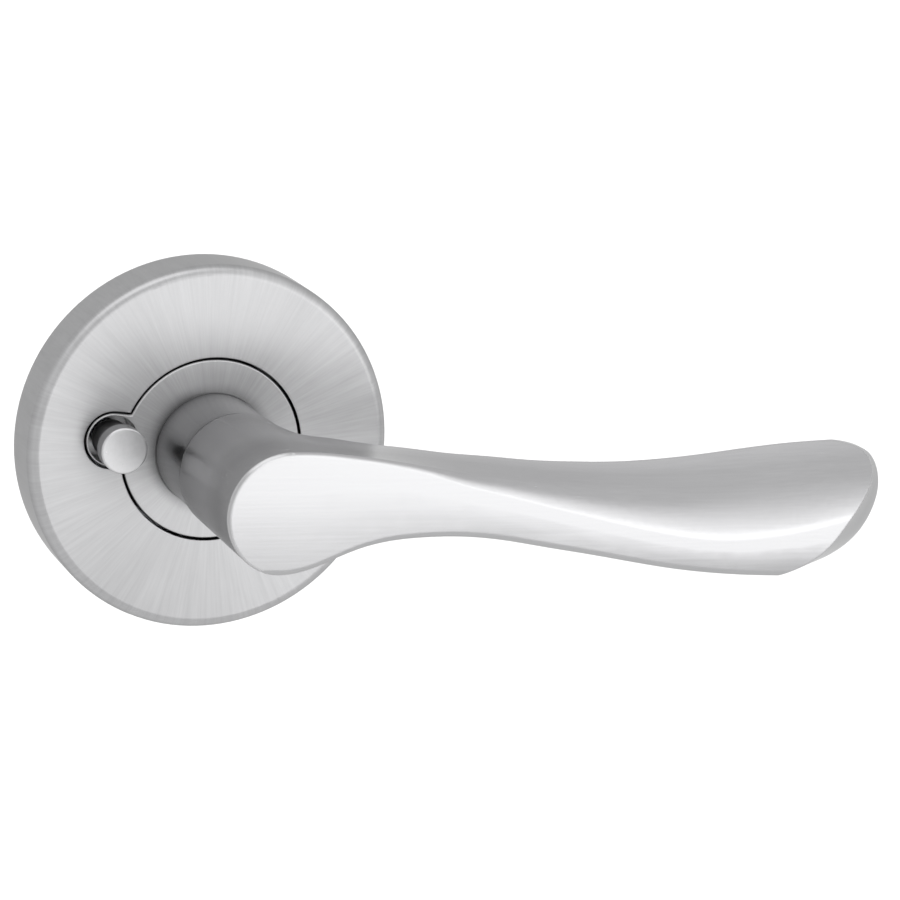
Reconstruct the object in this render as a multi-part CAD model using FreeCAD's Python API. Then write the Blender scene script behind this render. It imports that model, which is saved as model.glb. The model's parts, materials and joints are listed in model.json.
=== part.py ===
"""Door lever handle with a round rose and a push-button privacy lock.

Millimetres, +Z up. The door face is the plane y = 0 and the user stands on the -Y side.
The origin is on the spindle axis at the door face. The lever points along +X.
"""
import FreeCAD, Part
import math
import os

V = FreeCAD.Vector
AXIS = V(0, 1, 0)

# rose: the cover, the keyhole insert in it and the plate on the door
ROSE_R = 32.5
ROSE_DEPTH = 10.5
ROSE_EDGE_R = 1.8
COVER_WALL = 1.2
INSERT_R = 16.05
GAP = 0.37                  # dark gap between the insert and the cover
INSERT_FACE = 1.5
INSERT_CHAMFER = 0.25
SKIRT_WALL = 1.2
PLATE_R = 31.0
PLATE_T = 2.4
BOSS_R = 12.0
BOSS_T = 1.8
COUNTERBORE_R = 9.8
COUNTERBORE_DEPTH = 2.2
RIM_GROOVE = (-1.8, -0.6)   # y values of the groove in the plate's rim
RIM_GROOVE_DEPTH = 0.85
SNAP_WIRE_R = 0.55
SNAP_WIRE_ARC = 345.0       # degrees; the rest is the gap of the split ring
ROD_HOLE_R = 3.4            # clears the rod and its clip in the plate

# privacy button beside the neck
BUTTON_X = -17.85
BUTTON_Z = 1.8
LOBE_R = 4.75
POCKET_R = 4.4
POCKET_WALL = 0.45
POCKET_FLOOR = 1.6
BUTTON_R = 4.05
BUTTON_FRONT = 18.0         # how far its face stands from the door
BUTTON_HEAD = 2.9
BUTTON_CAP = 1.2            # metal between the button's face and the end of the rod
BUTTON_STEM_R = 3.3
BUTTON_STEM = 6.4
BUTTON_WEB = 1.0            # metal between the head and the spring inside the stem
PIN_R = 1.6
PIN_INNER_END = 33.0        # how far the rod reaches into the door
COIL_R = 2.35               # spring behind the button
COIL_WIRE_R = 0.28
COIL_TURNS = 5
CLIP_R = 2.9
CLIP_T = 0.5
CLIP_Y = -1.75
CLIP_GROOVE = 0.35

# neck: fixed sleeve, bushes and the rotating drive sleeve
SLEEVE_R = 10.06
SLEEVE_BORE_R = 8.6
SLEEVE_FRONT = 25.1
FLANGE_R = 13.0
FLANGE_T = 0.7
BUSH_LIP = 1.0              # thickness of the front bush's flange
BUSH_LIP_R = 9.41
BUSH_REAR = 12.0
DRIVE_R = 7.5
RUNNING = 0.05
RIM_CHAMFER = 0.15          # on the two rims that meet in the neck
DRIVE_REAR = 0.5
DRIVE_FRONT = 44.0
CIRCLIP_GROOVE_R = 6.7
CIRCLIP_R = 9.2
CIRCLIP_REAR = 0.7
CIRCLIP_T = 1.0
WASHER_R = 9.5
WASHER_T = 0.4
KEY = 2.0                   # width and height of the key between sleeve and cam
SPINDLE = 8.0
SOCKET = 8.1
SPINDLE_FRONT = 36.0
SPINDLE_INNER_END = 45.0
GRUB_R = 3.0
GRUB_Y = -32.0
GRUB_END = 9.3
GRUB_HEX_R = 1.75
GRUB_HEX_DEPTH = 2.6

# lever: hub, neck and arm
HUB_R = 10.43
NECK_R = 10.25
LEVER_REAR = 25.4
LEVER_FRONT = 53.3
HUB_EDGE = 0.45
NECK_FULL = 40.0            # where the neck has widened to the hub's radius
NECK_END = 51.0             # where the round neck ends inside the head of the lever

# turning stops and return spring
STOP_ANGLE = 45.0
LUG_HALF_ANGLE = 12.0
CAM_R = 11.0
LUG_R = 14.2
CAM_FRONT = 8.1
CAM_T = 1.2
TANG_HALF_WIDTH = 0.8
STOP_PIN_R = 1.2
STOP_PIN_PCR = 13.2
STOP_PIN_REAR = -0.8
SPRING_INNER_R = 8.9
SPRING_STEP = 0.55
SPRING_T = 0.45
SPRING_HALF_TURNS = 5
SPRING_REAR = 4.45
SPRING_WIDTH = 2.0
SPRING_POST_R = 0.7
SPRING_POST_PCR = 12.9

# fasteners
BOLT_R = 2.0                # thread
BOLT_SHOULDER_R = 2.3       # plain shank where the bolt goes through the plate
BOLT_SPACING = 38.0
BOLT_HEAD_R = 3.9
BOLT_HEAD = 2.6
BOLT_INNER_END = 42.0
EAR_PCR = 20.0
EAR_R = 3.5
EAR_T = 2.0
EAR_ANGLES = (0.0, 133.0, 215.0)
SMALL_SCREW_R = 1.5
SMALL_HEAD_R = 2.6
SMALL_HEAD = 1.8
CROSS_HALF_WIDTH = 0.45

# arm stations: x, y of the back, then heights of the top at the back, of the crest, of the
# bottom at the front and of the bottom at the back, then the crest radius and the crown
STATIONS = (
    (-12.0, -25.9, 9.9, 10.45, -10.45, -9.9, 0.5, 0.32),
    (-6.0, -25.9, 9.9, 10.45, -10.45, -9.9, 0.5, 0.32),
    (0.5, -25.9, 9.9, 10.45, -10.45, -9.9, 0.5, 0.32),
    (5.0, -25.9, 8.8, 10.35, -9.45, -8.6, 0.5, 0.3),
    (9.0, -27.3, 7.3, 10.0, -7.8, -6.6, 0.55, 0.27),
    (13.0, -31.0, 7.4, 9.5, -6.25, -5.4, 0.6, 0.24),
    (18.0, -36.0, 7.7, 8.75, -5.05, -4.5, 0.7, 0.2),
    (24.0, -39.8, 7.9, 7.6, -4.5, -4.2, 1.0, 0.18),
    (31.0, -41.3, 7.4, 6.1, -4.5, -4.2, 1.8, 0.18),
    (38.0, -41.5, 6.9, 5.0, -5.2, -4.8, 2.6, 0.2),
    (46.0, -41.5, 6.2, 3.7, -6.6, -6.1, 3.6, 0.2),
    (54.0, -41.5, 5.9, 2.5, -8.0, -7.4, 4.9, 0.2),
    (62.0, -41.5, 5.9, 1.4, -9.5, -8.8, 6.5, 0.22),
    (70.0, -41.5, 6.4, 0.5, -10.9, -10.2, 8.4, 0.26),
    (78.0, -41.5, 7.3, -0.2, -11.9, -11.2, 9.9, 0.3),
    (86.0, -41.5, 8.4, -0.2, -12.5, -11.8, 10.4, 0.36),
    (94.0, -41.5, 9.3, 0.4, -12.8, -12.1, 9.8, 0.44),
    (101.0, -41.5, 9.7, 1.5, -13.0, -12.3, 8.6, 0.54),
    (109.0, -41.5, 9.9, 2.9, -13.1, -12.4, 7.4, 0.64),
    (118.0, -41.5, 10.0, 4.2, -13.2, -12.5, 6.4, 0.72),
)
BACK_EDGE_R = 0.8
FRONT_EDGE_R = 1.1
CROWN_START = 0.58          # how far down the front's flat the crown starts
CROWN_BLEND = 0.25          # and how far either side it is blended in

# outline of the tip in x and z, at the front of the arm and where its spread ends
TIP_SPREAD_END = -43.0
TIP_FRONT = ((96.0, 10.1), (102.0, 9.5), (106.8, 7.9), (107.0, 5.0), (105.8, 2.2),
             (104.2, -0.8), (102.2, -4.0), (99.4, -7.6), (94.2, -11.0), (83.0, -13.0))
TIP_BACK = ((96.0, 9.7), (102.0, 9.2), (107.0, 8.5), (110.9, 6.9), (113.0, 3.8),
            (113.6, 0.0), (112.8, -3.8), (110.8, -7.5), (106.4, -11.3), (94.0, -14.0))


def along_y(radius, y_rear, y_front, x=0.0, z=0.0):
    """Cylinder along the Y axis between two planes; y_rear is the larger value."""
    return Part.makeCylinder(radius, y_rear - y_front, V(x, y_front, z), AXIS)


def ring(outer, inner, y_rear, y_front, x=0.0, z=0.0):
    return along_y(outer, y_rear, y_front, x, z).cut(along_y(inner, y_rear, y_front, x, z))


def block(x0, x1, y0, y1, z0, z1):
    return Part.makeBox(x1 - x0, y1 - y0, z1 - z0, V(x0, y0, z0))


def polar(radius, degrees):
    """x and z of a point at this radius and angle about the spindle axis."""
    angle = math.radians(degrees)
    return radius * math.cos(angle), radius * math.sin(angle)


def revolved(points):
    """Solid of revolution about the Y axis from (radius, y) corners."""
    corners = [V(r, y, 0) for r, y in points]
    face = Part.Face(Part.makePolygon(corners + corners[:1]))
    return face.revolve(V(0, 0, 0), AXIS, 360)


def fused(shapes):
    return shapes[0].fuse(shapes[1:]).removeSplitter()


def keyhole(disc_r, lobe_r, y_rear, y_front):
    """Disc and side lobe joined by a straight slot that runs out from the spindle axis."""
    reach = math.hypot(BUTTON_X, BUTTON_Z)
    slot = block(0, reach, y_front, y_rear, -lobe_r, lobe_r)
    slot.rotate(V(0, 0, 0), AXIS, -math.degrees(math.atan2(BUTTON_Z, BUTTON_X)))
    return fused([along_y(disc_r, y_rear, y_front), slot,
                  along_y(lobe_r, y_rear, y_front, BUTTON_X, BUTTON_Z)])


def edges_at(shape, y):
    """Edges that lie in the plane at this y."""
    boxes = [(edge, edge.BoundBox) for edge in shape.Edges]
    return [edge for edge, box in boxes if box.YLength < 1e-4 and abs(box.YMin - y) < 1e-4]


def rose_cover():
    shell = along_y(ROSE_R, 0, -ROSE_DEPTH)
    shell = shell.makeFillet(ROSE_EDGE_R, edges_at(shell, -ROSE_DEPTH))
    inside = along_y(ROSE_R - COVER_WALL, 0, -ROSE_DEPTH + COVER_WALL)
    inside = inside.makeFillet(ROSE_EDGE_R - COVER_WALL / 2, edges_at(inside, -ROSE_DEPTH + COVER_WALL))
    opening = keyhole(INSERT_R + GAP, LOBE_R + GAP, 0, -ROSE_DEPTH - 1)
    return shell.cut(inside).cut(opening)


def bolt_axes():
    return ((0.0, BOLT_SPACING / 2), (0.0, -BOLT_SPACING / 2))


def centre_plate():
    """Keyhole cup that carries the neck sleeve and the button, screwed to the plate by ears."""
    body = keyhole(INSERT_R, LOBE_R, -PLATE_T, -ROSE_DEPTH)
    body = body.makeChamfer(INSERT_CHAMFER, edges_at(body, -ROSE_DEPTH))
    cavity = along_y(INSERT_R - SKIRT_WALL, -PLATE_T, -ROSE_DEPTH + INSERT_FACE)
    lobe_wall = along_y(POCKET_R + POCKET_WALL, 0, -ROSE_DEPTH, BUTTON_X, BUTTON_Z)
    body = body.cut(cavity.cut(lobe_wall))
    for angle in EAR_ANGLES:
        x, z = polar(EAR_PCR, angle)
        ear = along_y(EAR_R, -PLATE_T, -PLATE_T - EAR_T, x, z)
        web = block(INSERT_R - 1, EAR_PCR, -PLATE_T - EAR_T, -PLATE_T, -EAR_R, EAR_R)
        web.rotate(V(0, 0, 0), AXIS, -angle)
        body = body.fuse([ear, web]).cut(along_y(SMALL_SCREW_R + 0.2, 0, -ROSE_DEPTH, x, z))
    for x, z in bolt_axes():
        body = body.cut(along_y(BOLT_HEAD_R + 0.3, 0, -PLATE_T - BOLT_HEAD - 0.4, x, z))
    pocket = along_y(POCKET_R, -PLATE_T - POCKET_FLOOR, -ROSE_DEPTH - 1, BUTTON_X, BUTTON_Z)
    rod_hole = along_y(PIN_R + 0.15, 0, -ROSE_DEPTH, BUTTON_X, BUTTON_Z)
    return body.cut([along_y(SLEEVE_R, 0, -ROSE_DEPTH - 1), pocket, rod_hole])


def mounting_plate():
    plate = along_y(PLATE_R, 0, -PLATE_T).fuse(along_y(BOSS_R, 0, -PLATE_T - BOSS_T))
    x, z = polar(SPRING_POST_PCR, 270)
    plate = plate.fuse(along_y(SPRING_POST_R, -1, -SPRING_REAR - SPRING_WIDTH, x, z))
    holes = [ring(PLATE_R + 1, PLATE_R - RIM_GROOVE_DEPTH, RIM_GROOVE[1], RIM_GROOVE[0]),
             along_y(COUNTERBORE_R, 0, -COUNTERBORE_DEPTH),
             along_y(SLEEVE_BORE_R, 0, -PLATE_T - BOSS_T),
             along_y(ROD_HOLE_R, 0, -PLATE_T, BUTTON_X, BUTTON_Z)]
    holes += [along_y(BOLT_SHOULDER_R + 0.15, 0, -PLATE_T, x, z) for x, z in bolt_axes()]
    holes += [along_y(SMALL_SCREW_R, -0.3, -PLATE_T, *polar(EAR_PCR, a)) for a in EAR_ANGLES]
    holes += [along_y(STOP_PIN_R, STOP_PIN_REAR, -PLATE_T, x, z) for x, z in stop_pin_places()]
    return plate.cut(holes)


def cover_snap_ring():
    """Split wire ring in the plate's rim, which the cover snaps over."""
    centre = V(PLATE_R - RIM_GROOVE_DEPTH + SNAP_WIRE_R + 0.05, sum(RIM_GROOVE) / 2, 0)
    wire = Part.Wire(Part.makeCircle(SNAP_WIRE_R, centre, V(0, 0, 1)))
    return Part.Face(wire).revolve(V(0, 0, 0), AXIS, SNAP_WIRE_ARC)


def neck_sleeve():
    back = -ROSE_DEPTH + INSERT_FACE
    return revolved(((SLEEVE_BORE_R, back + FLANGE_T),
                     (FLANGE_R, back + FLANGE_T),
                     (FLANGE_R, back),
                     (SLEEVE_R, back),
                     (SLEEVE_R, -SLEEVE_FRONT + RIM_CHAMFER),
                     (SLEEVE_R - RIM_CHAMFER, -SLEEVE_FRONT),
                     (BUSH_LIP_R, -SLEEVE_FRONT),
                     (BUSH_LIP_R, -SLEEVE_FRONT + BUSH_LIP),
                     (SLEEVE_BORE_R, -SLEEVE_FRONT + BUSH_LIP)))


def front_bush():
    lip = ring(BUSH_LIP_R, DRIVE_R + RUNNING, -SLEEVE_FRONT + BUSH_LIP, -SLEEVE_FRONT)
    body = ring(SLEEVE_BORE_R, DRIVE_R + RUNNING, -BUSH_REAR, -SLEEVE_FRONT + BUSH_LIP)
    return fused([body, lip])


def rear_bush():
    return ring(SLEEVE_BORE_R, DRIVE_R + RUNNING, -COUNTERBORE_DEPTH, -PLATE_T - BOSS_T)


def thrust_washer():
    return ring(WASHER_R, DRIVE_R + RUNNING, -COUNTERBORE_DEPTH + WASHER_T, -COUNTERBORE_DEPTH)


def circlip():
    """Open ring in the drive sleeve's groove, with two holes for the fitting pliers."""
    front = -CIRCLIP_REAR - CIRCLIP_T
    clip = ring(CIRCLIP_R, CIRCLIP_GROOVE_R, -CIRCLIP_REAR, front)
    cuts = [block(-2.2, 2.2, front, 0, -CIRCLIP_R - 1, 0)]
    cuts += [along_y(0.6, 0, front, x, -7.9) for x in (-3.3, 3.3)]
    return clip.cut(cuts)


def keyway():
    half = KEY / 2
    return block(-half, half, -CAM_FRONT, -CAM_FRONT + CAM_T, DRIVE_R - half, DRIVE_R + half)


def grub_hole():
    return Part.makeCylinder(GRUB_R, 20, V(0, GRUB_Y, 0), V(0, 0, -1))


def drive_sleeve():
    """Steel tube in the lever's neck with the square socket and the circlip groove."""
    tube = along_y(DRIVE_R, -DRIVE_REAR, -DRIVE_FRONT)
    half = SOCKET / 2
    socket = block(-half, half, -SPINDLE_FRONT - 1, 0, -half, half)
    groove = ring(DRIVE_R + 1, CIRCLIP_GROOVE_R, -CIRCLIP_REAR, -CIRCLIP_REAR - CIRCLIP_T - 0.05)
    return tube.cut([socket, groove, grub_hole(), keyway()])


def square_spindle():
    half = SPINDLE / 2
    bar = block(-half, half, -SPINDLE_FRONT, SPINDLE_INNER_END, -half, half)
    ends = edges_at(bar, -SPINDLE_FRONT) + edges_at(bar, SPINDLE_INNER_END)
    return bar.makeChamfer(0.6, ends)


def grub_screw():
    tip = SPINDLE / 2
    body = Part.makeCylinder(GRUB_R, GRUB_END - tip, V(0, GRUB_Y, -GRUB_END), V(0, 0, 1))
    corners = [polar(GRUB_HEX_R, 60 * n) for n in range(7)]
    outline = Part.makePolygon([V(x, GRUB_Y + z, -GRUB_END) for x, z in corners])
    return body.cut(Part.Face(outline).extrude(V(0, 0, GRUB_HEX_DEPTH)))


def rounded_section(x, corners, radii):
    """Closed wire at this x through (y, z) corners, each rounded by an arc."""
    points = [V(x, y, z) for y, z in corners]
    count = len(points)
    starts, arcs, ends = [], [], []
    for n in range(count):
        here = points[n]
        back = (points[n - 1] - here).normalize()
        ahead = (points[(n + 1) % count] - here).normalize()
        half = back.getAngle(ahead) / 2
        away = radii[n] / math.tan(half)
        centre = here + (back + ahead).normalize() * (radii[n] / math.sin(half))
        start, end = here + back * away, here + ahead * away
        middle = centre + (here - centre).normalize() * radii[n]
        starts.append(start)
        ends.append(end)
        arcs.append(Part.Arc(start, middle, end).toShape())
    edges = []
    for n in range(count):
        edges += [arcs[n], Part.makeLine(ends[n], starts[(n + 1) % count])]
    return Part.Wire(edges)


def arm_section(station):
    x, back, top, crest, bottom, rear_bottom, crest_r, crown = station
    front = -LEVER_FRONT
    lean = math.atan2(top - crest, back - front)
    flat_top = crest - crest_r * math.tan((math.pi / 2 - lean) / 2)
    height = flat_top - bottom
    middle = flat_top - CROWN_START * height
    corners = ((back, top), (front, crest), (front, middle), (front + crown, bottom),
               (back, rear_bottom))
    crown_r = CROWN_BLEND * height / math.tan(math.atan2(crown, middle - bottom) / 2)
    return rounded_section(x, corners, (BACK_EDGE_R, crest_r, crown_r, FRONT_EDGE_R, BACK_EDGE_R))


def tip_wire(outline, y):
    """Closed outline around the whole arm whose right-hand end is the tip's curve."""
    curve = Part.BSplineCurve()
    curve.interpolate([V(x, y, z) for x, z in outline])
    top, bottom = outline[0], outline[-1]
    corners = [V(bottom[0], y, bottom[1]), V(40, y, -30), V(-30, y, -30), V(-30, y, 30),
               V(60, y, 30), V(top[0], y, top[1])]
    sides = [Part.makeLine(a, b) for a, b in zip(corners, corners[1:])]
    return Part.Wire([curve.toShape()] + sides)


def arm():
    """Lofted arm, with its tip cut to an outline that spreads towards the back."""
    body = Part.makeLoft([arm_section(s) for s in STATIONS], True, False)
    nose = -LEVER_FRONT - 1.0
    reach = (nose - TIP_SPREAD_END) / (-LEVER_FRONT - TIP_SPREAD_END)
    ahead = [(b[0] + (f[0] - b[0]) * reach, b[1] + (f[1] - b[1]) * reach)
             for f, b in zip(TIP_FRONT, TIP_BACK)]
    rim = tip_wire(TIP_BACK, TIP_SPREAD_END)
    taper = Part.makeLoft([tip_wire(ahead, nose), rim], True, True)
    return body.common(taper.fuse(Part.Face(rim).extrude(V(0, 30, 0))))


def hub_limits():
    """The round end of the lever with its bright edge, and all the room to the right of it."""
    end = revolved(((0, -LEVER_REAR + 1), (HUB_R, -LEVER_REAR + 1),
                    (HUB_R, -LEVER_FRONT + HUB_EDGE), (HUB_R - HUB_EDGE, -LEVER_FRONT),
                    (0, -LEVER_FRONT)))
    return end.fuse(block(0, 130, -LEVER_FRONT - 1, -LEVER_REAR + 1, -20, 20))


def lever_handle():
    neck = revolved(((0, -LEVER_REAR), (NECK_R - RIM_CHAMFER, -LEVER_REAR),
                     (NECK_R, -LEVER_REAR - RIM_CHAMFER), (HUB_R, -NECK_FULL),
                     (HUB_R, -NECK_END), (0, -NECK_END)))
    handle = neck.fuse(arm().common(hub_limits()))
    return handle.cut([along_y(DRIVE_R, 0, -DRIVE_FRONT), grub_hole()])


def drive_cam():
    """Keyed disc on the drive sleeve, with the stop lug and the tang for the spring."""
    rear = -CAM_FRONT + CAM_T
    disc = along_y(CAM_R, rear, -CAM_FRONT)
    lug = Part.makeCylinder(LUG_R, CAM_T, V(0, -CAM_FRONT, 0), AXIS, 2 * LUG_HALF_ANGLE)
    middle = lug.CenterOfMass
    lug.rotate(V(0, 0, 0), AXIS, math.degrees(math.atan2(middle.z, middle.x)) - 90)
    tang = block(-TANG_HALF_WIDTH, TANG_HALF_WIDTH, rear - 0.2, -SPRING_REAR - 0.3,
                 -SPRING_INNER_R + SPRING_T, -DRIVE_R - 0.1)
    return fused([disc, lug, tang]).cut([along_y(DRIVE_R, 0, -CAM_FRONT - 1), keyway()])


def cam_key():
    return keyway()


def return_spring():
    """Flat spiral spring of strip, its turns built from half circles that meet in line."""
    outer, inner = [], []
    centre, side = 0.0, 1
    for n in range(SPRING_HALF_TURNS):
        radius = SPRING_INNER_R + n * SPRING_STEP / 2
        for path, r in ((outer, radius + SPRING_T / 2), (inner, radius - SPRING_T / 2)):
            ends = [V(centre + side * r * s, 0, 0) for s in (1, -1)]
            path.append(Part.Arc(ends[0], V(centre, 0, side * r), ends[1]).toShape())
        centre += side * SPRING_STEP / 2
        side = -side
    caps = [Part.makeLine(outer[0].Vertexes[0].Point, inner[0].Vertexes[0].Point),
            Part.makeLine(outer[-1].Vertexes[-1].Point, inner[-1].Vertexes[-1].Point)]
    outline = Part.Wire(Part.__sortEdges__(outer + inner + caps))
    strip = Part.Face(outline).extrude(V(0, SPRING_WIDTH, 0))
    strip.translate(V(0, -SPRING_REAR - SPRING_WIDTH, 0))
    return strip


def stop_pin_places():
    half = math.degrees(math.asin(STOP_PIN_R / STOP_PIN_PCR))
    swing = STOP_ANGLE + LUG_HALF_ANGLE + half + 0.6
    return [polar(STOP_PIN_PCR, 90 + side * swing) for side in (-1, 1)]


def stop_pins():
    return Part.makeCompound([along_y(STOP_PIN_R, STOP_PIN_REAR, -CAM_FRONT + 0.1, x, z)
                              for x, z in stop_pin_places()])


def cross_recess(x, z, y_top, depth, size):
    """Cross recess in a screw head whose top is at y_top."""
    half, y_end = CROSS_HALF_WIDTH, y_top + depth
    return fused([block(x - size, x + size, y_top - 0.1, y_end, z - half, z + half),
                  block(x - half, x + half, y_top - 0.1, y_end, z - size, z + size)])


def screw_head(x, z, seat, radius, height):
    """Pan head with a cross recess; its seat is a y value."""
    top = seat - height
    cap = along_y(radius, seat, top, x, z)
    cap = cap.makeFillet(height * 0.4, edges_at(cap, top))
    return cap.cut(cross_recess(x, z, top, height * 0.6, radius * 0.55))


def through_screws():
    """Bolts to the plate on the door's other side, each with a plain shoulder in this plate."""
    bolts = []
    for x, z in bolt_axes():
        bolts.append(fused([screw_head(x, z, -PLATE_T, BOLT_HEAD_R, BOLT_HEAD),
                            along_y(BOLT_SHOULDER_R, 0, -PLATE_T, x, z),
                            along_y(BOLT_R, BOLT_INNER_END, 0, x, z)]))
    return Part.makeCompound(bolts)


def plate_screws():
    """Screws that hold the ears of the centre plate."""
    seat, screws = -PLATE_T - EAR_T, []
    for angle in EAR_ANGLES:
        x, z = polar(EAR_PCR, angle)
        screws.append(fused([screw_head(x, z, seat, SMALL_HEAD_R, SMALL_HEAD),
                             along_y(SMALL_SCREW_R, -0.4, seat, x, z)]))
    return Part.makeCompound(screws)


def privacy_button():
    """Round head on a hollow stem, bored for the rod; the spring sits inside the stem."""
    face, rear = -BUTTON_FRONT, -BUTTON_FRONT + BUTTON_HEAD + BUTTON_STEM
    head = along_y(BUTTON_R, face + BUTTON_HEAD, face, BUTTON_X, BUTTON_Z)
    head = head.makeFillet(0.3, edges_at(head, face))
    stem = along_y(BUTTON_STEM_R, rear, face + 1, BUTTON_X, BUTTON_Z)
    rod_bore = along_y(PIN_R, 0, face + BUTTON_CAP, BUTTON_X, BUTTON_Z)
    spring_bore = along_y(COIL_R + COIL_WIRE_R + 0.15, rear, spring_seat(), BUTTON_X, BUTTON_Z)
    return fused([head, stem]).cut([rod_bore, spring_bore])


def spring_seat():
    """y of the seat of the spring inside the button."""
    return -BUTTON_FRONT + BUTTON_HEAD + BUTTON_WEB


def privacy_pin():
    rod = along_y(PIN_R, PIN_INNER_END, -BUTTON_FRONT + BUTTON_CAP, BUTTON_X, BUTTON_Z)
    rod = rod.makeChamfer(0.4, edges_at(rod, PIN_INNER_END))
    groove = ring(PIN_R + 1, PIN_R - CLIP_GROOVE, CLIP_Y, CLIP_Y - CLIP_T, BUTTON_X, BUTTON_Z)
    return rod.cut(groove)


def pin_clip():
    clip = ring(CLIP_R, PIN_R - CLIP_GROOVE, CLIP_Y, CLIP_Y - CLIP_T, BUTTON_X, BUTTON_Z)
    mouth = block(BUTTON_X - 1.1, BUTTON_X + 1.1, CLIP_Y - 1, 0, BUTTON_Z, BUTTON_Z + 4)
    return clip.cut(mouth)


def button_spring():
    """Compression spring between the inside of the button and the floor of its pocket."""
    room = -PLATE_T - POCKET_FLOOR - spring_seat() - 0.1
    length = room - 2 * COIL_WIRE_R
    coil = Part.makeHelix(length / COIL_TURNS, length, COIL_R)
    start = Part.Wire(Part.makeCircle(COIL_WIRE_R, V(COIL_R, 0, 0), V(0, 1, 0)))
    spring = coil.makePipeShell([start], True, True)
    spring.rotate(V(0, 0, 0), V(1, 0, 0), -90)
    spring.translate(V(BUTTON_X, spring_seat() + COIL_WIRE_R + 0.05, BUTTON_Z))
    return spring


MAKERS = (rose_cover, centre_plate, mounting_plate, cover_snap_ring, neck_sleeve, front_bush,
          rear_bush, thrust_washer, stop_pins, plate_screws, through_screws, return_spring,
          lever_handle, drive_sleeve, square_spindle, grub_screw, drive_cam, cam_key, circlip,
          privacy_button, privacy_pin, pin_clip, button_spring)


def main():
    os.makedirs("parts", exist_ok=True)
    for maker in MAKERS:
        shape = maker()
        shape.exportStep(f"parts/{maker.__name__}.step")
        box = shape.BoundBox
        print(f"{maker.__name__}: {len(shape.Solids)} solids, valid {shape.isValid()}, "
              f"volume {shape.Volume:.1f}, x {box.XMin:.1f} {box.XMax:.1f}, "
              f"y {box.YMin:.1f} {box.YMax:.1f}, z {box.ZMin:.1f} {box.ZMax:.1f}")


main()
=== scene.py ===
"""Looks of the door lever handle: materials, lights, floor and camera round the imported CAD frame."""
import json
import math

import bpy
from mathutils import Matrix, Vector


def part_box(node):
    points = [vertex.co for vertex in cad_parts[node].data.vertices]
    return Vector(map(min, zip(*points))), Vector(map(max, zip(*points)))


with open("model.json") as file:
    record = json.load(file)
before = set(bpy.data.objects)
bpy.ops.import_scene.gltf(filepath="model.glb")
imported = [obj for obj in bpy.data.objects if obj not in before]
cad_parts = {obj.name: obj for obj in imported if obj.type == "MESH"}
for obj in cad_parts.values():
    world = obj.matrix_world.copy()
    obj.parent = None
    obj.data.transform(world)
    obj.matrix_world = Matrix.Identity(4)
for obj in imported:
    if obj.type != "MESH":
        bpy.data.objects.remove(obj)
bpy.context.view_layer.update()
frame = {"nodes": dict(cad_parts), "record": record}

NODES = frame["nodes"]

# places on the CAD frame that the materials follow
ROSE_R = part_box("rose_cover")[1][2]
ROSE_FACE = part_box("rose_cover")[0][1]
BUTTON_LOW, BUTTON_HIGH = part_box("privacy_button")
BUTTON_AXIS = ((BUTTON_LOW.x + BUTTON_HIGH.x) / 2, (BUTTON_LOW.z + BUTTON_HIGH.z) / 2)
BUTTON_CLEARANCE = 0.00042
POCKET_R = (BUTTON_HIGH.x - BUTTON_LOW.x) / 2 + BUTTON_CLEARANCE
POCKET_LIP = 0.0003
HUB_DEPTH = 0.0073
NECK_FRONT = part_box("lever_handle")[0].y + HUB_DEPTH
NECK_FADE = 0.006
SLEEVE_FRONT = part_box("neck_sleeve")[0].y

# camera: where it aims, from which side, how far off and how long a lens
AIM = Vector((0.0325, -0.040, 0.00725))
AZIMUTH = math.radians(-22.28)
ELEVATION = math.radians(13.64)
ROLL = math.radians(4.97)
DISTANCE = 0.5743
LENS_MM = 136.0
SENSOR_MM = 36.0
CLIP_START = 0.01
CLIP_END = 50

# the handle hangs a metre above the floor, as it does on a door
FLOOR_Z = -1.0
FLOOR_X = (-14.0, 14.0)
FLOOR_Y = (-1.2, 16.0)
FLOOR_DARK = (0.93, 0.93, 0.93)
FLOOR_LIGHT = (0.95, 0.95, 0.95)

# studio: even white all round, and one soft glow in front, a little to the right and below
WHITE = 1.18
GLOW = 1.38
GLOW_AZIMUTH = math.radians(30)
GLOW_HALF_WIDTH = math.radians(20)
GLOW_ELEVATION = math.radians(-10)
GLOW_ABOVE = math.radians(49)
GLOW_BELOW = math.radians(10)

# softboxes: name, place, target, width, height and watts
SOFTBOXES = (
    ("front_panel", (0.26, -0.43, -0.078), (0.26, 0.0, -0.078), 0.42, 0.10, 0.13),
    ("upper_panel", (0.09, -0.43, 0.03), (0.09, 0.0, 0.03), 0.16, 0.24, 0.10),
    ("top_panel", (-0.4, -0.5, 1.4), (0.0, 0.0, 0.0), 1.2, 1.2, 6.0),
)

# what every metal shares
NICKEL = (0.355, 0.355, 0.36)
EDGE_TINT = (0.7, 0.7, 0.7, 1)
# painted highlight along every metal edge: how much brighter than the base colour
EDGE_HIGHLIGHT = 1.35
EDGE_FLAT = 0.99
EDGE_TURNED = 0.9
# painted shade that darkens every metal where other surfaces crowd in
CREVICE_SHADE_REACH = 0.0035
CREVICE_SHADE_DARKEST = 0.34
CREVICE_SHADE_CLOSED = 0.35
CREVICE_SHADE_OPEN = 0.85
LINE_SHARE = 0.75
CLOUD_SCALE = 90
GLOSS_SPREAD = 0.12
RELIEF_DEPTH = 0.00002

# painted shade and painted light that darken or lift a metal in one place
# painted shade on the rose's side wall
RIM_SHADE = 0.84
RIM_BAND = (0.0007, 0.0001)
# painted light inside the button's pocket
POCKET_LIGHT = 4.5
# painted light on the lever's round neck
NECK_LIGHT = 1.3
# painted shadow line round the neck sleeve at its joint with the lever
JOINT_SHADOW = 0.35
JOINT_SHADOW_BAND = (0.00035, 0.0005)

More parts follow.
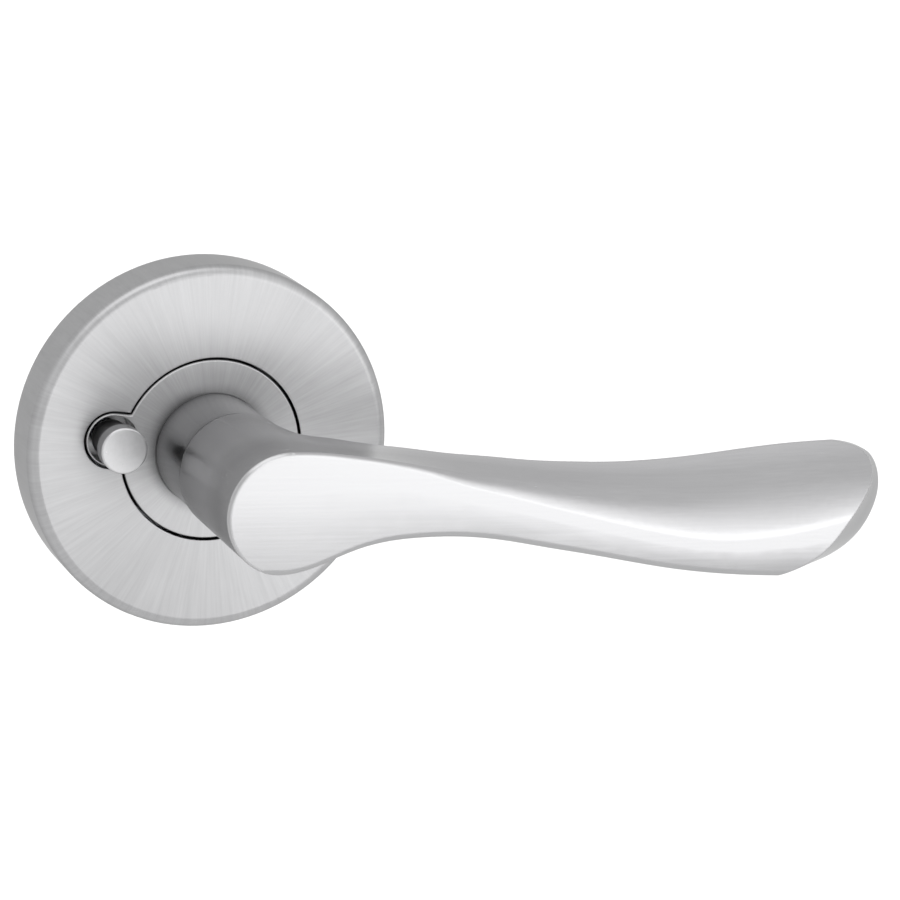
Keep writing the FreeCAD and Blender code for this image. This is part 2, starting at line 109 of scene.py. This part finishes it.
# where along its third axis the noise for the rose's broad rays is cut
BROAD_SLICE = 7.3

# plastics: the shade of the grain's dark side, how rough it is and how light goes in
PLASTIC_DARK = 0.92
PLASTIC_ROUGH = (0.42, 0.56)
PLASTIC_RELIEF = 0.3
PLASTIC_DEPTH = 0.08
PLASTIC_RADIUS = (0.001, 0.001, 0.0008)


def node_graph(name):
    """A new material with its node tree and its shader."""
    material = bpy.data.materials.new(name)
    material.use_nodes = True
    tree = material.node_tree
    shader = tree.nodes["Principled BSDF"]
    return material, tree, shader


def add(tree, kind, **settings):
    """A new node with its settings."""
    node = tree.nodes.new(kind)
    for key, value in settings.items():
        setattr(node, key, value)
    return node


def feed(tree, node, values):
    """Gives a node's inputs, in order, numbers or links."""
    for socket, value in zip(node.inputs, values):
        if isinstance(value, (int, float)):
            socket.default_value = value
        else:
            tree.links.new(value, socket)
    return node.outputs[0]


def math_node(tree, operation, *values):
    return feed(tree, add(tree, "ShaderNodeMath", operation=operation), values)


def combine(tree, x, y, z):
    return feed(tree, add(tree, "ShaderNodeCombineXYZ"), (x, y, z))


def stretched(tree, parts, scales):
    """A vector with each of its parts scaled on its own."""
    scaled_parts = [math_node(tree, "MULTIPLY", part, scale) for part, scale in zip(parts, scales)]
    return combine(tree, *scaled_parts)


def blend(tree, first, second, share):
    """A share of the first value and the rest of the second."""
    return math_node(tree, "ADD", math_node(tree, "MULTIPLY", first, share),
                     math_node(tree, "MULTIPLY", second, 1 - share))


def object_vector(tree):
    """Object coordinates in metres."""
    return add(tree, "ShaderNodeTexCoord").outputs["Object"]


def object_xyz(tree):
    """Object coordinates in metres, split in three."""
    split = add(tree, "ShaderNodeSeparateXYZ")
    tree.links.new(object_vector(tree), split.inputs[0])
    return split.outputs


def noise(tree, vector, scale, detail, roughness=0.5):
    node = add(tree, "ShaderNodeTexNoise")
    node.inputs["Scale"].default_value = scale
    node.inputs["Detail"].default_value = detail
    node.inputs["Roughness"].default_value = roughness
    tree.links.new(vector, node.inputs["Vector"])
    return node.outputs["Fac"]


def ramp(tree, value, low, high, start, end):
    """Maps a value from low..high to start..end."""
    node = add(tree, "ShaderNodeMapRange")
    node.inputs["From Min"].default_value = low
    node.inputs["From Max"].default_value = high
    node.inputs["To Min"].default_value = start
    node.inputs["To Max"].default_value = end
    tree.links.new(value, node.inputs["Value"])
    return node.outputs[0]


def grey_ramp(tree, value, dark, light, low=0.3, high=0.7):
    """Colour between two, by a value."""
    node = add(tree, "ShaderNodeValToRGB")
    node.color_ramp.elements[0].position = low
    node.color_ramp.elements[0].color = (*dark, 1)
    node.color_ramp.elements[1].position = high
    node.color_ramp.elements[1].color = (*light, 1)
    tree.links.new(value, node.inputs[0])
    return node.outputs[0]


def scaled(colour, factor):
    return tuple(c * factor for c in colour)


def edge_mask(tree, rounded):
    """1 near an edge of the shape and 0 on its faces, from the bevelled normal."""
    geometry = add(tree, "ShaderNodeNewGeometry")
    dot = add(tree, "ShaderNodeVectorMath", operation="DOT_PRODUCT")
    tree.links.new(rounded, dot.inputs[0])
    tree.links.new(geometry.outputs["Normal"], dot.inputs[1])
    return ramp(tree, dot.outputs["Value"], EDGE_FLAT, EDGE_TURNED, 0.0, 1.0)


def painted_crevice_shade(tree):
    """Painted shade: 1 in the open, falling to the darkest where other surfaces crowd in."""
    node = add(tree, "ShaderNodeAmbientOcclusion", samples=8)
    node.inputs["Distance"].default_value = CREVICE_SHADE_REACH
    return ramp(tree, node.outputs["AO"], CREVICE_SHADE_CLOSED, CREVICE_SHADE_OPEN, CREVICE_SHADE_DARKEST, 1.0)


def bevelled(tree, radius):
    """The surface's normal, with its edges rounded."""
    node = add(tree, "ShaderNodeBevel", samples=6)
    node.inputs["Radius"].default_value = radius
    return node.outputs[0]


def bump(tree, height, strength, normal=None):
    node = add(tree, "ShaderNodeBump")
    if normal:
        tree.links.new(normal, node.inputs["Normal"])
    node.inputs["Strength"].default_value = strength
    node.inputs["Distance"].default_value = RELIEF_DEPTH
    tree.links.new(height, node.inputs["Height"])
    return node.outputs[0]


def shade(tree, colour, factor):
    """Multiplies a colour by a value."""
    node = add(tree, "ShaderNodeVectorMath", operation="SCALE")
    tree.links.new(colour, node.inputs[0])
    tree.links.new(factor, node.inputs["Scale"])
    return node.outputs[0]


def painted_edge_highlight(tree, base, colour, rounded):
    """The base colour, with a painted highlight along its edges."""
    highlighted = add(tree, "ShaderNodeMix", data_type="RGBA")
    tree.links.new(edge_mask(tree, rounded), highlighted.inputs["Factor"])
    tree.links.new(base, highlighted.inputs["A"])
    highlighted.inputs["B"].default_value = (*scaled(colour, EDGE_HIGHLIGHT), 1)
    return highlighted.outputs["Result"]


def brushed(name, colour, streaks, roughness, spread, relief, edge=0.00025, anisotropy=0.0,
            tangent=None, painted_tone=None):
    """Brushed metal. streaks(tree) gives the height of the brush lines, from 0 to 1."""
    material, tree, shader = node_graph(name)
    lines = streaks(tree)
    clouds = noise(tree, object_vector(tree), CLOUD_SCALE, 3)
    mottled = blend(tree, lines, clouds, LINE_SHARE)
    base = grey_ramp(tree, mottled, scaled(colour, 1 - spread), scaled(colour, 1 + spread))
    # painted shade in crevices, where other surfaces crowd in
    base = shade(tree, base, painted_crevice_shade(tree))
    # painted shade and painted light for this metal, where it has any
    if painted_tone:
        base = shade(tree, base, painted_tone(tree))
    rounded = bevelled(tree, edge)
    gloss = ramp(tree, mottled, 0.3, 0.7, roughness * (1 - GLOSS_SPREAD), roughness * (1 + GLOSS_SPREAD))
    # painted highlight along the edges, over the base colour
    tree.links.new(painted_edge_highlight(tree, base, colour, rounded), shader.inputs["Base Color"])
    tree.links.new(gloss, shader.inputs["Roughness"])
    tree.links.new(bump(tree, lines, relief, rounded), shader.inputs["Normal"])
    shader.inputs["Metallic"].default_value = 1.0
    shader.inputs["Specular Tint"].default_value = EDGE_TINT
    shader.inputs["Anisotropic"].default_value = anisotropy
    if tangent:
        node = add(tree, "ShaderNodeTangent", direction_type="RADIAL", axis=tangent)
        tree.links.new(node.outputs[0], shader.inputs["Tangent"])
    return material


def plastic(name, colour):
    """Moulded plastic: a soft sheen over a fine, uneven skin."""
    material, tree, shader = node_graph(name)
    grain = cloudy(tree)
    base = grey_ramp(tree, grain, scaled(colour, PLASTIC_DARK), colour)
    tree.links.new(base, shader.inputs["Base Color"])
    tree.links.new(ramp(tree, grain, 0.3, 0.7, *PLASTIC_ROUGH), shader.inputs["Roughness"])
    tree.links.new(bump(tree, grain, PLASTIC_RELIEF), shader.inputs["Normal"])
    shader.inputs["Subsurface Weight"].default_value = PLASTIC_DEPTH
    shader.inputs["Subsurface Radius"].default_value = PLASTIC_RADIUS
    return material


def distance_from(tree, x, z, centre_x=0.0, centre_z=0.0):
    """How far a point is from an axis that runs along Y."""
    across = math_node(tree, "SUBTRACT", x, centre_x)
    up = math_node(tree, "SUBTRACT", z, centre_z)
    squares = math_node(tree, "ADD", math_node(tree, "MULTIPLY", across, across),
                        math_node(tree, "MULTIPLY", up, up))
    return math_node(tree, "SQRT", squares)


def rose_painted_shade_and_light(tree):
    """Painted shade makes the rose's side wall darker than its face, and painted light lifts the inside
    of the pocket.
    """
    x, y, z = object_xyz(tree)
    inner, outer = (ROSE_R - inset for inset in RIM_BAND)
    rim_shade = ramp(tree, distance_from(tree, x, z), inner, outer, 1.0, RIM_SHADE)
    near = math_node(tree, "LESS_THAN", distance_from(tree, x, z, *BUTTON_AXIS), POCKET_R)
    below = math_node(tree, "GREATER_THAN", y, ROSE_FACE + POCKET_LIP)
    inside = math_node(tree, "MULTIPLY", near, below)
    pocket_light = ramp(tree, inside, 0.0, 1.0, 1.0, POCKET_LIGHT)
    return math_node(tree, "MULTIPLY", rim_shade, pocket_light)


def neck_painted_light(tree):
    """Painted light makes the lever's round neck a little paler than its arm."""
    y = object_xyz(tree)[1]
    return ramp(tree, y, NECK_FRONT, NECK_FRONT + NECK_FADE, 1.0, NECK_LIGHT)


def sleeve_joint_shadow(tree):
    """A thin painted shadow line round the neck sleeve, where it meets the lever."""
    y = object_xyz(tree)[1]
    start, end = (SLEEVE_FRONT + inset for inset in JOINT_SHADOW_BAND)
    return ramp(tree, y, start, end, JOINT_SHADOW, 1.0)


def ray_streaks(tree):
    """Fine lines that run out from the spindle axis over the face, and straight over the rim."""
    x, y, z = object_xyz(tree)
    angle = math_node(tree, "ARCTAN2", z, x)
    radius = distance_from(tree, x, z)
    fine = noise(tree, stretched(tree, (angle, radius, y), (60.0, 90.0, 200.0)), 1.0, 3, 0.65)
    wide = combine(tree, math_node(tree, "MULTIPLY", angle, 14.0),
                   math_node(tree, "MULTIPLY", radius, 20.0), BROAD_SLICE)
    return blend(tree, fine, noise(tree, wide, 1.0, 2), 0.65)


def along_streaks(tree):
    """Fine lines along the arm."""
    xyz = object_xyz(tree)
    fine = noise(tree, stretched(tree, xyz, (45.0, 2600.0, 2600.0)), 1.0, 3, 0.6)
    broad = noise(tree, stretched(tree, xyz, (12.0, 300.0, 300.0)), 1.0, 2)
    return blend(tree, fine, broad, 0.7)


def turned_streaks(tree):
    """Fine rings about the Y axis, as a lathe leaves them."""
    return noise(tree, stretched(tree, object_xyz(tree), (15.0, 3000.0, 15.0)), 1.0, 3, 0.6)


def cloudy(tree):
    """Fine, even grain with no direction."""
    return noise(tree, object_vector(tree), 700, 4, 0.6)


def rose_nickel():
    return brushed("rose_nickel", scaled(NICKEL, 1.02), ray_streaks, roughness=0.38, spread=0.15,
                   relief=0.35, anisotropy=0.75, tangent="Y", painted_tone=rose_painted_shade_and_light)


def neck_nickel():
    # painted light: the sleeve's nickel is a copy of the lever's made 1.2 times paler
    return brushed("neck_nickel", scaled(NICKEL, 1.2), turned_streaks, roughness=0.18, spread=0.03,
                   relief=0.08, edge=0.0001, painted_tone=sleeve_joint_shadow)


def lever_nickel():
    return brushed("lever_nickel", NICKEL, along_streaks, roughness=0.25, spread=0.05,
                   relief=0.12, edge=0.0005, painted_tone=neck_painted_light)


def button_nickel():
    return brushed("button_nickel", scaled(NICKEL, 1.2), cloudy, roughness=0.3, spread=0.07,
                   relief=0.05)


def zinc_steel():
    return brushed("zinc_steel", (0.50, 0.52, 0.56), cloudy, roughness=0.34, spread=0.12,
                   relief=0.3)


def bright_steel():
    return brushed("bright_steel", (0.46, 0.46, 0.47), turned_streaks, roughness=0.3, spread=0.08,
                   relief=0.2)


def black_steel():
    return brushed("black_steel", (0.035, 0.035, 0.04), cloudy, roughness=0.42, spread=0.2,
                   relief=0.3)


def spring_steel():
    return brushed("spring_steel", (0.22, 0.23, 0.26), cloudy, roughness=0.3, spread=0.15,
                   relief=0.2)


def white_nylon():
    return plastic("white_nylon", (0.82, 0.81, 0.76))


def black_acetal():
    return plastic("black_acetal", (0.03, 0.03, 0.032))


def dress_frame():
    """Every CAD node gets the material of its slot."""
    makers = (rose_nickel, neck_nickel, lever_nickel, button_nickel, zinc_steel, bright_steel,
              black_steel, spring_steel, white_nylon, black_acetal)
    looks = {maker.__name__: maker() for maker in makers}
    for row in frame["record"]["subparts"]:
        mesh = NODES[row["node"]].data
        mesh.materials.clear()
        mesh.materials.append(looks[row["material_slot"]])


def make_camera():
    """Aims at the handle from above its left, with a long lens and a small roll."""
    forward = Vector((-math.sin(AZIMUTH) * math.cos(ELEVATION),
                      math.cos(AZIMUTH) * math.cos(ELEVATION), -math.sin(ELEVATION)))
    right = Vector((math.cos(AZIMUTH), math.sin(AZIMUTH), 0))
    up = right.cross(forward)
    tilted_right = right * math.cos(ROLL) + up * math.sin(ROLL)
    tilted_up = up * math.cos(ROLL) - right * math.sin(ROLL)
    data = bpy.data.cameras.new("camera")
    data.lens = LENS_MM
    data.sensor_width = SENSOR_MM
    data.clip_start = CLIP_START
    data.clip_end = CLIP_END
    camera = bpy.data.objects.new("camera", data)
    turn = Matrix((tilted_right, tilted_up, -forward)).transposed().to_4x4()
    camera.matrix_world = Matrix.Translation(AIM - forward * DISTANCE) @ turn
    bpy.context.scene.collection.objects.link(camera)
    bpy.context.scene.camera = camera


def floor_material():
    material, tree, shader = node_graph("floor")
    tint = grey_ramp(tree, noise(tree, object_vector(tree), 3, 2), FLOOR_DARK, FLOOR_LIGHT)
    tree.links.new(tint, shader.inputs["Base Color"])
    shader.inputs["Roughness"].default_value = 0.9
    shader.inputs["Specular IOR Level"].default_value = 0.1
    return material


def make_floor():
    """Plain pale floor, far below the handle."""
    (left, right), (near, far) = FLOOR_X, FLOOR_Y
    corners = [(x, y, FLOOR_Z) for x, y in ((left, near), (right, near), (right, far), (left, far))]
    mesh = bpy.data.meshes.new("floor")
    mesh.from_pydata(corners, [], [(0, 1, 2, 3)])
    mesh.materials.append(floor_material())
    floor = bpy.data.objects.new("floor", mesh)
    bpy.context.scene.collection.objects.link(floor)


def squared_share(tree, value, centre, width):
    """How many widths a value is from the centre, squared."""
    share = math_node(tree, "DIVIDE", math_node(tree, "SUBTRACT", value, centre), width)
    return math_node(tree, "MULTIPLY", share, share)


def glow_distance(tree, direction):
    """How far a direction is from the middle of the glow, squared and in the glow's widths."""
    split = add(tree, "ShaderNodeSeparateXYZ")
    tree.links.new(direction, split.inputs[0])
    x, y, z = split.outputs
    azimuth = math_node(tree, "ARCTAN2", x, math_node(tree, "MULTIPLY", y, -1.0))
    elevation = math_node(tree, "ARCSINE", z)
    above = math_node(tree, "MAXIMUM", elevation, GLOW_ELEVATION)
    below = math_node(tree, "MINIMUM", elevation, GLOW_ELEVATION)
    sideways = squared_share(tree, azimuth, GLOW_AZIMUTH, GLOW_HALF_WIDTH)
    upward = squared_share(tree, above, GLOW_ELEVATION, GLOW_ABOVE)
    downward = squared_share(tree, below, GLOW_ELEVATION, GLOW_BELOW)
    return math_node(tree, "ADD", sideways, math_node(tree, "ADD", upward, downward))


def make_studio():
    """White surround whose front is lit by the glow, falling off gently on every side."""
    world = bpy.data.worlds.new("studio")
    bpy.context.scene.world = world
    world.use_nodes = True
    tree = world.node_tree
    direction = add(tree, "ShaderNodeTexCoord").outputs["Generated"]
    away = math_node(tree, "MULTIPLY", glow_distance(tree, direction), -1.0)
    glow = math_node(tree, "MULTIPLY", math_node(tree, "EXPONENT", away), GLOW)
    background = tree.nodes["Background"]
    background.inputs["Color"].default_value = (1, 1, 1, 1)
    tree.links.new(math_node(tree, "ADD", glow, WHITE), background.inputs["Strength"])


def make_softboxes():
    """Panels that light the handle but aren't seen by the camera."""
    for name, place, target, width, height, watts in SOFTBOXES:
        data = bpy.data.lights.new(name, "AREA")
        data.shape = "RECTANGLE"
        data.size = width
        data.size_y = height
        data.energy = watts
        lamp = bpy.data.objects.new(name, data)
        lamp.visible_camera = False
        aim = Vector(target) - Vector(place)
        turn = aim.to_track_quat("-Z", "Y").to_matrix().to_4x4()
        lamp.matrix_world = Matrix.Translation(place) @ turn
        bpy.context.scene.collection.objects.link(lamp)


make_camera()
make_floor()
make_studio()
make_softboxes()
dress_frame()
bpy.context.scene.view_settings.view_transform = "Standard"
